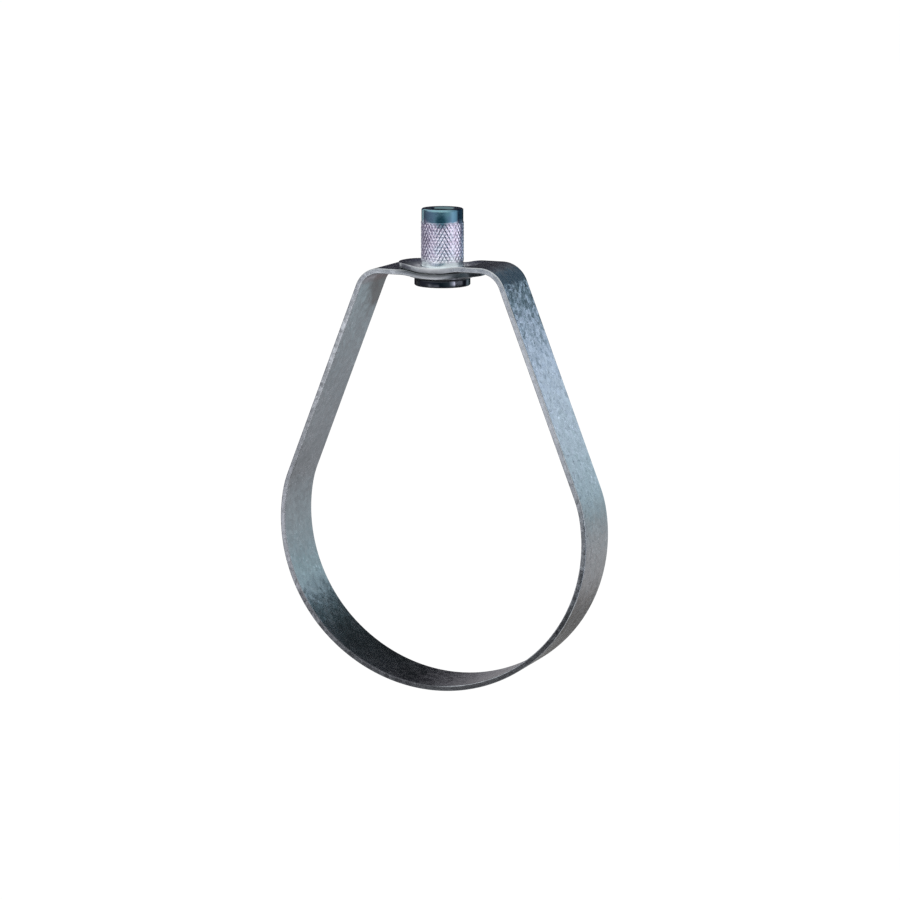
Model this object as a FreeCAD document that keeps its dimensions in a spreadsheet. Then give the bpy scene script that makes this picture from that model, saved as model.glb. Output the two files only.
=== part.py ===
import FreeCAD, Part
import math
import os
import Sketcher
from FreeCAD import Placement, Rotation, Vector

# Swivel ring hanger for a 4 inch pipe, hung on a 3/8 inch threaded rod.
# One steel strip is folded into a teardrop whose two ends lie one on the other at the crown.
# A flanged, knurled nut stands through both ends and turns freely in them.
# Millimetres. The origin is the centre of the pipe ring, Y runs along the pipe and Z up along the rod.

DRIVING_SIZES = {
    # Strip stock
    "strip_width": 22.2,
    "strip_thickness": 2.0,
    "edge_round": 0.3,
    # Folded outline, radii to the inside face, angles in degrees
    "seat_radius": 62.0,
    "seat_half_angle": 42.3,
    "side_radius": 57.6,
    "side_top_angle": 10.1,
    "shoulder_radius": 36.4,
    "bend_radius": 8.2,
    "crown_height": 96.9,
    # Overlapping ends: from the dish rim to the top bend, and to the tip
    "layer_gap": 0.2,
    "bend_clearance": 3.67,
    "tip_margin": 0.5,
    # Round dish pressed into both ends: flat land round the hole, then the curved wall
    "floor_land": 1.25,
    "dish_wall": 6.7,
    "dish_depth": 1.3,
    # Swivel nut
    "thread_bore_radius": 3.97,
    "bore_countersink": 0.9,
    "flange_overlap": 2.15,
    "flange_thickness": 2.8,
    "journal_relief": 0.15,
    "journal_rise": 1.8,
    "knurl_radius": 7.95,
    "knurl_height": 14.6,
    "collar_relief": 0.2,
    "collar_height": 4.9,
    "edge_break": 0.35,
    # Fits
    "turning_clearance": 0.3,
    "seat_clearance": 0.2,
    "cut_margin": 1.0,
}

DERIVED_SIZES = {
    "half_width": "strip_width / 2",
    # Outer face of each bend
    "seat_outer": "seat_radius + strip_thickness",
    "side_outer": "side_radius + strip_thickness",
    "shoulder_outer": "shoulder_radius + strip_thickness",
    "bend_outer": "bend_radius + strip_thickness",
    # Hole, dish and ends, counted outward from the nut's barrel
    "hole_radius": "knurl_radius + turning_clearance",
    "dish_floor_radius": "hole_radius + floor_land",
    "dish_radius": "dish_floor_radius + dish_wall",
    "tip_reach": "dish_radius + tip_margin",
    "brim_radius": "sqrt(tip_reach ^ 2 + half_width ^ 2)",
    "crown_half_length": "dish_radius + bend_clearance",
    # Top faces of the two layers outside the dish, and of the dish floors
    "upper_top": "crown_height",
    "lower_top": "crown_height - strip_thickness - layer_gap",
    "upper_underside": "upper_top - strip_thickness",
    "lower_underside": "lower_top - strip_thickness",
    "upper_floor": "upper_top - dish_depth",
    "lower_floor": "lower_top - dish_depth",
    "upper_floor_underside": "upper_underside - dish_depth",
    "lower_floor_underside": "lower_underside - dish_depth",
    # The straight leg touches the shoulder and the top bend: lean of the line that touches both
    "side_base_angle": "seat_half_angle - 90",
    "shoulder_across": "(seat_outer - side_outer) * cos(side_base_angle)"
                       " + (side_outer - shoulder_outer) * cos(side_top_angle)",
    "shoulder_up": "(seat_outer - side_outer) * sin(side_base_angle)"
                   " + (side_outer - shoulder_outer) * sin(side_top_angle)",
    "leg_across": "shoulder_across - crown_half_length",
    "leg_up": "upper_top - bend_outer - shoulder_up",
    "leg_span": "sqrt(leg_across ^ 2 + leg_up ^ 2)",
    "leg_lean": "(atan(leg_across / leg_up) + asin((shoulder_outer - bend_outer) / leg_span)) / 1 deg",
    # Turned steps of the nut, counted up from its flange seat
    "flange_radius": "hole_radius + flange_overlap",
    "journal_radius": "knurl_radius - journal_relief",
    "collar_radius": "knurl_radius - collar_relief",
    "flange_top": "lower_floor_underside - seat_clearance",
    "nut_bottom": "flange_top - flange_thickness",
    "flange_low_edge": "nut_bottom + edge_break",
    "flange_high_edge": "flange_top - edge_break",
    "flange_face_radius": "flange_radius - edge_break",
    "knurl_bottom": "upper_floor + journal_rise",
    "knurl_low_edge": "knurl_bottom + journal_relief",
    "knurl_top": "knurl_bottom + knurl_height",
    "knurl_high_edge": "knurl_top - collar_relief",
    "nut_top": "knurl_top + collar_height",
    "collar_edge": "nut_top - edge_break",
    "collar_face_radius": "collar_radius - edge_break",
    "mouth_radius": "thread_bore_radius + bore_countersink",
    "mouth_low": "nut_bottom + bore_countersink",
    "mouth_high": "nut_top - bore_countersink",
}

START = 1
END = 2
CENTRE = 3
ORIGIN = (-1, 1)
UPRIGHT = Rotation(Vector(1, 0, 0), 90)
TOLERANCE = 0.001
EDGE_SAMPLES = 5

doc = FreeCAD.newDocument("swivel_ring_hanger")
sheet = doc.addObject("Spreadsheet::Sheet", "Sizes")


def fill_sheet():
    """Writes the driving sizes as plain numbers and the worked-out sizes as formulas."""
    rows = [(name, str(number)) for name, number in DRIVING_SIZES.items()]
    rows += [(name, "=" + formula) for name, formula in DERIVED_SIZES.items()]
    for row, (name, content) in enumerate(rows, start=1):
        sheet.set(f"A{row}", name)
        sheet.set(f"B{row}", content)
        sheet.setAlias(f"B{row}", name)
    doc.recompute()


def size(name):
    return float(sheet.get(name))


def bind(target, path, expression):
    target.setExpression(path, expression)


def dimension(sketch, name, expression, *constraint):
    """Adds a driving dimension to a sketch and ties it to the sheet."""
    index = sketch.addConstraint(Sketcher.Constraint(*constraint))
    sketch.renameConstraint(index, name)
    bind(sketch, f"Constraints.{name}", expression)


def polar(centre, radius, degrees):
    angle = math.radians(degrees)
    return centre + Vector(math.cos(angle), math.sin(angle), 0) * radius


def arc(centre, radius, first_degrees, last_degrees):
    circle = Part.Circle(centre, Vector(0, 0, 1), radius)
    return Part.ArcOfCircle(circle, math.radians(first_degrees), math.radians(last_degrees))


def mirrored(point, side):
    return Vector(side * point.x, point.y, 0)


def mirrored_arc(centre, radius, first_degrees, last_degrees, side):
    if side > 0:
        return arc(centre, radius, first_degrees, last_degrees)
    return arc(mirrored(centre, side), radius, 180 - last_degrees, 180 - first_degrees)


def add_side(sketch, seat, side, top_name):
    """Adds one half of the strip's outer line: ring side, shoulder, leg, top bend and flat.

    side is +1 for the right half, whose end is the upper layer, and -1 for the left half.
    The flat runs to the rod axis, and the pressed end carries on from there.
    """
    side_outer = size("side_outer")
    shoulder_outer = size("shoulder_outer")
    bend_outer = size("bend_outer")
    seat_end = size("side_base_angle")
    side_end = size("side_top_angle")
    lean = size("leg_lean")
    top = size(top_name)

    side_centre = polar(Vector(0, 0, 0), size("seat_outer") - side_outer, seat_end)
    shoulder_centre = polar(side_centre, side_outer - shoulder_outer, side_end)
    leg_start = polar(shoulder_centre, shoulder_outer, lean)
    bend_rise = bend_outer * math.sin(math.radians(lean))
    leg_length = (top - bend_outer + bend_rise - leg_start.y) / math.cos(math.radians(lean))
    leg_end = polar(leg_start, leg_length, lean + 90)
    bend_centre = polar(leg_end, bend_outer, lean + 180)
    flat_start = Vector(bend_centre.x, top, 0)
    flat_end = Vector(0, top, 0)

    ring_side = sketch.addGeometry(mirrored_arc(side_centre, side_outer, seat_end, side_end, side))
    shoulder = sketch.addGeometry(mirrored_arc(shoulder_centre, shoulder_outer, side_end, lean, side))
    leg = sketch.addGeometry(Part.LineSegment(mirrored(leg_start, side), mirrored(leg_end, side)))
    bend = sketch.addGeometry(mirrored_arc(bend_centre, bend_outer, lean, 90, side))
    flat = sketch.addGeometry(Part.LineSegment(mirrored(flat_start, side), mirrored(flat_end, side)))

    near, far = (START, END) if side > 0 else (END, START)
    joints = (
        (seat, far, ring_side, near),
        (ring_side, far, shoulder, near),
        (shoulder, far, leg, START),
        (leg, END, bend, near),
        (bend, far, flat, START),
    )
    for joint in joints:
        sketch.addConstraint(Sketcher.Constraint("Tangent", *joint))
    sketch.addConstraint(Sketcher.Constraint("Horizontal", flat))

    label = "right" if side > 0 else "left"
    side_sweep = math.radians(side_end - seat_end)
    shoulder_sweep = math.radians(lean - side_end)
    dimension(sketch, f"{label}_side_radius", "Sizes.side_outer",
              "Radius", ring_side, side_outer)
    dimension(sketch, f"{label}_shoulder_radius", "Sizes.shoulder_outer",
              "Radius", shoulder, shoulder_outer)
    dimension(sketch, f"{label}_bend_radius", "Sizes.bend_outer",
              "Radius", bend, bend_outer)
    dimension(sketch, f"{label}_side_sweep",
              "(Sizes.side_top_angle - Sizes.side_base_angle) * 1 deg",
              "Angle", ring_side, side_sweep)
    dimension(sketch, f"{label}_shoulder_sweep", "(Sizes.leg_lean - Sizes.side_top_angle) * 1 deg",
              "Angle", shoulder, shoulder_sweep)
    dimension(sketch, f"{label}_top", f"Sizes.{top_name}",
              "DistanceY", *ORIGIN, flat, START, top)
    sketch.addConstraint(Sketcher.Constraint("Vertical", flat, END, *ORIGIN))


def folded_strip():
    """The strip folded to its teardrop, before the dish is pressed."""
    line = doc.addObject("Sketcher::SketchObject", "outer_line")
    line.Placement = Placement(Vector(0, 0, 0), UPRIGHT)
    seat_outer = size("seat_outer")
    half_angle = size("seat_half_angle")
    seat = line.addGeometry(arc(Vector(0, 0, 0), seat_outer, -90 - half_angle, -90 + half_angle))
    line.addConstraint(Sketcher.Constraint("Coincident", seat, CENTRE, *ORIGIN))
    line.addConstraint(Sketcher.Constraint("Horizontal", seat, START, seat, END))
    dimension(line, "seat_radius", "Sizes.seat_outer", "Radius", seat, seat_outer)
    dimension(line, "seat_sweep", "2 * Sizes.seat_half_angle * 1 deg",
              "Angle", seat, math.radians(2 * half_angle))
    add_side(line, seat, +1, "upper_top")
    add_side(line, seat, -1, "lower_top")

    section = doc.addObject("Part::Offset2D", "strip_section")
    section.Source = line
    section.Mode = "Skin"
    section.Join = "Intersection"
    section.Fill = True
    bind(section, "Value", "Sizes.strip_thickness")

    strip = doc.addObject("Part::Extrusion", "folded_strip")
    strip.Base = section
    strip.DirMode = "Normal"
    strip.Symmetric = True
    strip.Solid = True
    bind(strip, "LengthFwd", "Sizes.strip_width")
    return strip


def add_polygon(sketch, corners):
    """Adds a closed outline whose corners are pairs of names in the sheet."""
    points = [Vector(size(across), size(up), 0) for across, up in corners]
    lines = []
    for number, point in enumerate(points):
        following = points[(number + 1) % len(points)]
        lines.append(sketch.addGeometry(Part.LineSegment(point, following)))
    for number, line in enumerate(lines):
        following = lines[(number + 1) % len(lines)]
        sketch.addConstraint(Sketcher.Constraint("Coincident", line, END, following, START))
    for number, (across, up) in enumerate(corners):
        line = lines[number]
        dimension(sketch, f"across_{number}", f"Sizes.{across}",
                  "DistanceX", *ORIGIN, line, START, points[number].x)
        dimension(sketch, f"up_{number}", f"Sizes.{up}",
                  "DistanceY", *ORIGIN, line, START, points[number].y)


def add_dish_face(sketch, label, rim_name, floor_name):
    """Adds one face of a pressed end: flat floor, two equal arcs up to the rim, flat brim."""
    floor_radius = size("dish_floor_radius")
    rim_radius = size("dish_radius")
    floor = size(floor_name)
    rim = size(rim_name)
    run = rim_radius - floor_radius
    rise = rim - floor
    bow = (run ** 2 + rise ** 2) / (4 * rise)
    sweep = 2 * math.degrees(math.atan(rise / run))
    flat = sketch.addGeometry(
        Part.LineSegment(Vector(size("hole_radius"), floor, 0), Vector(floor_radius, floor, 0)))
    hollow = sketch.addGeometry(arc(Vector(floor_radius, floor + bow, 0), bow, -90, -90 + sweep))
    crest = sketch.addGeometry(arc(Vector(rim_radius, rim - bow, 0), bow, 90, 90 + sweep))
    brim = sketch.addGeometry(
        Part.LineSegment(Vector(rim_radius, rim, 0), Vector(size("brim_radius"), rim, 0)))
    sketch.addConstraint(Sketcher.Constraint("Horizontal", flat))
    sketch.addConstraint(Sketcher.Constraint("Tangent", flat, END, hollow, START))
    sketch.addConstraint(Sketcher.Constraint("Tangent", hollow, END, crest, END))
    sketch.addConstraint(Sketcher.Constraint("Equal", hollow, crest))
    sketch.addConstraint(Sketcher.Constraint("Tangent", crest, START, brim, START))
    sketch.addConstraint(Sketcher.Constraint("Horizontal", brim))
    dimension(sketch, f"{label}_hole", "Sizes.hole_radius",
              "DistanceX", *ORIGIN, flat, START, size("hole_radius"))
    dimension(sketch, f"{label}_floor_radius", "Sizes.dish_floor_radius",
              "DistanceX", *ORIGIN, flat, END, floor_radius)
    dimension(sketch, f"{label}_floor", f"Sizes.{floor_name}",
              "DistanceY", *ORIGIN, flat, END, floor)
    dimension(sketch, f"{label}_rim_radius", "Sizes.dish_radius",
              "DistanceX", *ORIGIN, crest, START, rim_radius)
    dimension(sketch, f"{label}_rim", f"Sizes.{rim_name}",
              "DistanceY", *ORIGIN, crest, START, rim)
    dimension(sketch, f"{label}_brim", "Sizes.brim_radius",
              "DistanceX", *ORIGIN, brim, END, size("brim_radius"))
    return flat, brim


def join_points(sketch, first, first_end, second, second_end):
    """Closes an outline with a straight line between two of its ends."""
    line = sketch.addGeometry(
        Part.LineSegment(sketch.getPoint(first, first_end), sketch.getPoint(second, second_end)))
    sketch.addConstraint(Sketcher.Constraint("Coincident", line, START, first, first_end))
    sketch.addConstraint(Sketcher.Constraint("Coincident", line, END, second, second_end))


def end_outline(layer, side):
    """The strip's outline round its pierced end: full width, with a half-round tip."""
    straight = doc.addObject("Part::Box", f"{layer}_straight")
    bind(straight, "Length", "Sizes.tip_reach - Sizes.half_width + Sizes.dish_radius")
    bind(straight, "Width", "Sizes.strip_width")
    bind(straight, "Height", "2 * Sizes.crown_height")
    bind(straight, "Placement.Base.y", "-Sizes.half_width")
    tip = doc.addObject("Part::Cylinder", f"{layer}_tip")
    bind(tip, "Radius", "Sizes.half_width")
    bind(tip, "Height", "2 * Sizes.crown_height")
    if side > 0:
        bind(straight, "Placement.Base.x", "Sizes.half_width - Sizes.tip_reach")
        bind(tip, "Placement.Base.x", "Sizes.half_width - Sizes.tip_reach")
    else:
        bind(straight, "Placement.Base.x", "-Sizes.dish_radius")
        bind(tip, "Placement.Base.x", "Sizes.tip_reach - Sizes.half_width")
    outline = doc.addObject("Part::MultiFuse", f"{layer}_outline")
    outline.Shapes = [straight, tip]
    outline.Refine = True
    return outline


def pressed_end(layer, side):
    """The dished end of one layer, turned about the rod axis and trimmed to the strip."""
    section = doc.addObject("Sketcher::SketchObject", f"{layer}_dish_section")
    section.Placement = Placement(Vector(0, 0, 0), UPRIGHT)
    top_flat, top_brim = add_dish_face(section, "top", f"{layer}_top", f"{layer}_floor")
    low_flat, low_brim = add_dish_face(
        section, "low", f"{layer}_underside", f"{layer}_floor_underside")
    join_points(section, top_flat, START, low_flat, START)
    join_points(section, top_brim, END, low_brim, END)

    ring = doc.addObject("Part::Revolution", f"{layer}_ring")
    ring.Source = section
    ring.Axis = Vector(0, 0, 1)
    ring.Base = Vector(0, 0, 0)
    ring.Angle = 360
    ring.Solid = True

    trimmed = doc.addObject("Part::MultiCommon", f"{layer}_end")
    trimmed.Shapes = [ring, end_outline(layer, side)]
    return trimmed


def edge_names(shape, wanted):
    """Names of the edges that pass the test at every sampled point."""
    names = []
    for number, edge in enumerate(shape.Edges, start=1):
        points = edge.discretize(EDGE_SAMPLES)
        if wanted(points):
            names.append(f"Edge{number}")
    return names


def on_strip_side(points):
    half_width = size("half_width")
    return all(abs(abs(point.y) - half_width) < TOLERANCE for point in points)


def is_upright(points):
    first = points[0]
    return all(math.hypot(point.x - first.x, point.y - first.y) < TOLERANCE for point in points)


def is_long_edge(points):
    return on_strip_side(points) and not is_upright(points)


def rounded(body, name, wanted, radius_expression):
    """Adds a fillet on the chosen edges of the body's present shape."""
    base = body.Tip
    edges = edge_names(base.Shape, wanted)
    if not edges:
        raise SystemExit(f"{name}: no edge to round")
    fillet = body.newObject("PartDesign::Fillet", name)
    fillet.Base = (base, edges)
    bind(fillet, "Radius", radius_expression)
    doc.recompute()
    return fillet


def make_band():
    """The folded strip with both ends dished and pierced, and its long edges rolled."""
    strip = folded_strip()

    dish_space = doc.addObject("Part::Cylinder", "dish_space")
    bind(dish_space, "Radius", "Sizes.dish_radius")
    bind(dish_space, "Height",
         "Sizes.upper_top - Sizes.lower_underside + 2 * Sizes.cut_margin")
    bind(dish_space, "Placement.Base.z", "Sizes.lower_underside - Sizes.cut_margin")
    opened = doc.addObject("Part::Cut", "opened_strip")
    opened.Base = strip
    opened.Tool = dish_space

    pressed = doc.addObject("Part::MultiFuse", "pressed_strip")
    pressed.Shapes = [opened, pressed_end("upper", +1), pressed_end("lower", -1)]
    pressed.Refine = True
    doc.recompute()
    if opened.Shape.Volume >= strip.Shape.Volume or pressed.Shape.Volume <= opened.Shape.Volume:
        raise SystemExit("band: the dish was not cut and pressed")

    band = doc.addObject("PartDesign::Body", "band")
    band.BaseFeature = pressed
    doc.recompute()
    rounded(band, "rolled_edges", is_long_edge, "Sizes.edge_round")
    return band


def origin_plane(body, role):
    for feature in body.Origin.OriginFeatures:
        if feature.Role == role:
            return feature
    raise SystemExit(f"{body.Name}: no {role}")


def make_swivel_nut():
    """The turned nut: flange, plain journal, knurled barrel, plain collar and tapped bore."""
    nut = doc.addObject("PartDesign::Body", "swivel_nut")
    section = nut.newObject("Sketcher::SketchObject", "turned_section")
    section.AttachmentSupport = [(origin_plane(nut, "XZ_Plane"), "")]
    section.MapMode = "FlatFace"
    doc.recompute()
    add_polygon(section, [
        ("mouth_radius", "nut_bottom"),
        ("flange_face_radius", "nut_bottom"),
        ("flange_radius", "flange_low_edge"),
        ("flange_radius", "flange_high_edge"),
        ("flange_face_radius", "flange_top"),
        ("journal_radius", "flange_top"),
        ("journal_radius", "knurl_bottom"),
        ("knurl_radius", "knurl_low_edge"),
        ("knurl_radius", "knurl_high_edge"),
        ("collar_radius", "knurl_top"),
        ("collar_radius", "collar_edge"),
        ("collar_face_radius", "nut_top"),
        ("mouth_radius", "nut_top"),
        ("thread_bore_radius", "mouth_high"),
        ("thread_bore_radius", "mouth_low"),
    ])
    turned = nut.newObject("PartDesign::Revolution", "turned")
    turned.Profile = section
    turned.ReferenceAxis = (section, ["V_Axis"])
    turned.Angle = 360
    doc.recompute()
    return nut


def check_document():
    for item in doc.Objects:
        failed = [word for word in item.State if word in ("Invalid", "Error")]
        if failed:
            raise SystemExit(f"{item.Name}: {item.State}")


def export(bodies):
    os.makedirs("parts", exist_ok=True)
    for body in bodies:
        shape = body.Shape
        if shape.isNull() or not shape.isValid():
            raise SystemExit(f"{body.Label}: no valid shape")
        shape.exportStep(f"parts/{body.Label}.step")
        box = shape.optimalBoundingBox()
        print(f"{body.Label}: {len(shape.Solids)} solid, {shape.Volume:.0f} mm3,"
              f" x {box.XMin:.1f} {box.XMax:.1f}, y {box.YMin:.1f} {box.YMax:.1f},"
              f" z {box.ZMin:.1f} {box.ZMax:.1f}")


fill_sheet()
bodies = [make_band(), make_swivel_nut()]
doc.recompute()
check_document()
export(bodies)
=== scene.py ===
import math

import bmesh
import bpy
from mathutils import Matrix, Vector


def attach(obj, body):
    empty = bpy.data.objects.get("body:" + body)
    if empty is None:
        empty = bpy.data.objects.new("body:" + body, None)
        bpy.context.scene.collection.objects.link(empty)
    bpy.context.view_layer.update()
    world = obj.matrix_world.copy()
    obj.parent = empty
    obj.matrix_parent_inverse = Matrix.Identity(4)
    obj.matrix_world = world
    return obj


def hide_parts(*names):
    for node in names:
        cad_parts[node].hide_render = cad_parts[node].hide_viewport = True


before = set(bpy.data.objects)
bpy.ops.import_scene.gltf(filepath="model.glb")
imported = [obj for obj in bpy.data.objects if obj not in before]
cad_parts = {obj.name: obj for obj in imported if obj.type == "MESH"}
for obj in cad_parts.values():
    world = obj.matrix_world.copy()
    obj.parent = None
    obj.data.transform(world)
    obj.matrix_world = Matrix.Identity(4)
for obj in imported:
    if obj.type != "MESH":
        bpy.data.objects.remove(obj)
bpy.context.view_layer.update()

# The part's lengths are in millimetres until a mesh is made, and have the names of its source.
# The studio and the camera are in metres.
MM = 0.001
TAU = 2 * math.pi

STRIP_WIDTH = 22.2
STRIP_THICKNESS = 2.0
EDGE_ROUND = 0.3
SEAT_RADIUS = 62.0
SEAT_HALF_ANGLE = 42.3
SIDE_RADIUS = 57.6
SIDE_TOP_ANGLE = 10.1
SHOULDER_RADIUS = 36.4
BEND_RADIUS = 8.2
CROWN_HEIGHT = 96.9
LAYER_GAP = 0.2
BEND_CLEARANCE = 3.67
TIP_MARGIN = 0.5
FLOOR_LAND = 1.25
DISH_WALL = 6.7
DISH_DEPTH = 1.3
THREAD_BORE_RADIUS = 3.97
BORE_COUNTERSINK = 0.9
FLANGE_OVERLAP = 2.15
FLANGE_THICKNESS = 2.8
JOURNAL_RELIEF = 0.15
JOURNAL_RISE = 1.8
KNURL_RADIUS = 7.95
KNURL_HEIGHT = 14.6
COLLAR_RELIEF = 0.2
COLLAR_HEIGHT = 4.9
EDGE_BREAK = 0.35
TURNING_CLEARANCE = 0.3
SEAT_CLEARANCE = 0.2

HALF_WIDTH = STRIP_WIDTH / 2
SEAT_OUTER = SEAT_RADIUS + STRIP_THICKNESS
SIDE_OUTER = SIDE_RADIUS + STRIP_THICKNESS
SHOULDER_OUTER = SHOULDER_RADIUS + STRIP_THICKNESS
BEND_OUTER = BEND_RADIUS + STRIP_THICKNESS
HOLE_RADIUS = KNURL_RADIUS + TURNING_CLEARANCE
DISH_FLOOR_RADIUS = HOLE_RADIUS + FLOOR_LAND
DISH_RADIUS = DISH_FLOOR_RADIUS + DISH_WALL
TIP_REACH = DISH_RADIUS + TIP_MARGIN
CROWN_HALF_LENGTH = DISH_RADIUS + BEND_CLEARANCE
UPPER_TOP = CROWN_HEIGHT
LOWER_TOP = CROWN_HEIGHT - STRIP_THICKNESS - LAYER_GAP
FLANGE_RADIUS = HOLE_RADIUS + FLANGE_OVERLAP
JOURNAL_RADIUS = KNURL_RADIUS - JOURNAL_RELIEF
COLLAR_RADIUS = KNURL_RADIUS - COLLAR_RELIEF
FLANGE_TOP = LOWER_TOP - STRIP_THICKNESS - DISH_DEPTH - SEAT_CLEARANCE
NUT_BOTTOM = FLANGE_TOP - FLANGE_THICKNESS
KNURL_BOTTOM = UPPER_TOP - DISH_DEPTH + JOURNAL_RISE
KNURL_TOP = KNURL_BOTTOM + KNURL_HEIGHT
NUT_TOP = KNURL_TOP + COLLAR_HEIGHT
MOUTH_RADIUS = THREAD_BORE_RADIUS + BORE_COUNTERSINK


def polar(centre, radius, degrees):
    angle = math.radians(degrees)
    return (centre[0] + radius * math.cos(angle), centre[1] + radius * math.sin(angle))


def spread(first, last, count):
    """count + 1 evenly spaced numbers from first to last."""
    return [first + (last - first) * step / count for step in range(count + 1)]


def smooth(first, last, value):
    """Eases from 0 at first to 1 at last."""
    share = min(1.0, max(0.0, (value - first) / (last - first)))
    return share * share * (3 - 2 * share)


# The folded outline, with the number of stations on each of its stretches

BEND_STEPS = 26
LEG_STEPS = 40
SHOULDER_STEPS = 10
SIDE_STEPS = 46
SEAT_STEPS = 34
SIDE_BASE_ANGLE = SEAT_HALF_ANGLE - 90
SIDE_CENTRE = polar((0, 0), SEAT_OUTER - SIDE_OUTER, SIDE_BASE_ANGLE)
SHOULDER_CENTRE = polar(SIDE_CENTRE, SIDE_OUTER - SHOULDER_OUTER, SIDE_TOP_ANGLE)


def leg_lean():
    """Lean of the straight leg that touches the shoulder and the top bend, in degrees."""
    across = SHOULDER_CENTRE[0] - CROWN_HALF_LENGTH
    up = UPPER_TOP - BEND_OUTER - SHOULDER_CENTRE[1]
    turn = math.asin((SHOULDER_OUTER - BEND_OUTER) / math.hypot(across, up))
    return math.degrees(math.atan2(across, up) + turn)


LEAN = leg_lean()


def half_outline(top):
    """Stations on the outer face of one half, from the crown's flat end to the lowest point.

    Each is (x, z, direction of the outward normal in degrees).
    """
    leg_foot = polar(SHOULDER_CENTRE, SHOULDER_OUTER, LEAN)
    rise = BEND_OUTER * math.sin(math.radians(LEAN))
    leg_length = (top - BEND_OUTER + rise - leg_foot[1]) / math.cos(math.radians(LEAN))
    leg_head = polar(leg_foot, leg_length, LEAN + 90)
    bend_centre = polar(leg_head, BEND_OUTER, LEAN + 180)
    stations = []
    for angle in spread(90, LEAN, BEND_STEPS):
        stations.append((*polar(bend_centre, BEND_OUTER, angle), angle))
    for share in spread(0, 1, LEG_STEPS)[1:]:
        x = leg_head[0] + (leg_foot[0] - leg_head[0]) * share
        z = leg_head[1] + (leg_foot[1] - leg_head[1]) * share
        stations.append((x, z, LEAN))
    for angle in spread(LEAN, SIDE_TOP_ANGLE, SHOULDER_STEPS)[1:]:
        stations.append((*polar(SHOULDER_CENTRE, SHOULDER_OUTER, angle), angle))
    for angle in spread(SIDE_TOP_ANGLE, SIDE_BASE_ANGLE, SIDE_STEPS)[1:]:
        stations.append((*polar(SIDE_CENTRE, SIDE_OUTER, angle), angle))
    for angle in spread(SIDE_BASE_ANGLE, -90, SEAT_STEPS)[1:]:
        stations.append((*polar((0, 0), SEAT_OUTER, angle), angle))
    return stations


def outline():
    """Stations all round, from the right end's flat to the left end's flat."""
    right = half_outline(UPPER_TOP)
    left = [(-x, z, 180 - angle) for x, z, angle in reversed(half_outline(LOWER_TOP))]
    return right + left[1:]


# Mesh helpers


def make_mesh(name, points, faces, places):
    """A smooth-shaded mesh from millimetre points; places are vectors kept on its points."""
    mesh = bpy.data.meshes.new(name)
    mesh.from_pydata([(x * MM, y * MM, z * MM) for x, y, z in points], [], faces)
    layer = mesh.attributes.new("place", "FLOAT_VECTOR", "POINT")
    layer.data.foreach_set("vector", [part for place in places for part in place])
    mesh.polygons.foreach_set("use_smooth", [True] * len(mesh.polygons))
    mesh.update()
    return mesh


def add_piece(name, mesh):
    piece = bpy.data.objects.new(name, mesh)
    bpy.context.scene.collection.objects.link(piece)
    return piece


def tidy_mesh(mesh, distance):
    """Joins points that fall on each other and turns every face outward."""
    work = bmesh.new()
    work.from_mesh(mesh)
    bmesh.ops.remove_doubles(work, verts=work.verts, dist=distance)
    bmesh.ops.recalc_face_normals(work, faces=work.faces)
    work.to_mesh(mesh)
    work.free()


# The strip


def dish(radius):
    """Drop of the pressed dish at a distance from the rod's axis."""
    run = DISH_WALL / 2
    bow = (DISH_WALL ** 2 + DISH_DEPTH ** 2) / (4 * DISH_DEPTH)
    out = radius - DISH_FLOOR_RADIUS
    if out <= 0:
        return -DISH_DEPTH
    if out >= DISH_WALL:
        return 0.0
    if out <= run:
        return -DISH_DEPTH + bow - math.sqrt(bow ** 2 - out ** 2)
    return -(bow - math.sqrt(bow ** 2 - (DISH_WALL - out) ** 2))


# Rows across the strip and down its edges; SUPPORT keeps the roundings crisp
FLAT_HALF = HALF_WIDTH - EDGE_ROUND
SUPPORT = 0.2
ACROSS_STEPS = 18
FLAT_ROWS = spread(-FLAT_HALF + SUPPORT, FLAT_HALF - SUPPORT, ACROSS_STEPS)
ACROSS = [-FLAT_HALF] + FLAT_ROWS + [FLAT_HALF]
ROUNDING = [math.radians(angle) for angle in (30, 60, 90)]
SIDE_DEPTHS = [
    EDGE_ROUND + SUPPORT,
    STRIP_THICKNESS / 2,
    STRIP_THICKNESS - EDGE_ROUND - SUPPORT,
    STRIP_THICKNESS - EDGE_ROUND,
]


def edge_column():
    """(out, depth) down a long edge, from just past the outer face to the inner face's edge."""
    column = []
    for angle in ROUNDING:
        column.append((EDGE_ROUND * math.sin(angle), EDGE_ROUND * (1 - math.cos(angle))))
    for depth in SIDE_DEPTHS:
        column.append((EDGE_ROUND, depth))
    for angle in reversed(ROUNDING[:-1]):
        column.append((EDGE_ROUND * math.sin(angle),
                       STRIP_THICKNESS - EDGE_ROUND * (1 - math.cos(angle))))
    column.append((0.0, STRIP_THICKNESS))
    return column


COLUMN = edge_column()


def section():
    """The strip's cross-section as a closed loop of (y, depth under the outer face)."""
    loop = [(y, 0.0) for y in ACROSS]
    loop += [(FLAT_HALF + out, depth) for out, depth in COLUMN]
    loop += [(y, STRIP_THICKNESS) for y in reversed(ACROSS[1:-1])]
    loop += [(-FLAT_HALF - out, depth) for out, depth in reversed(COLUMN)]
    return loop


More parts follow.
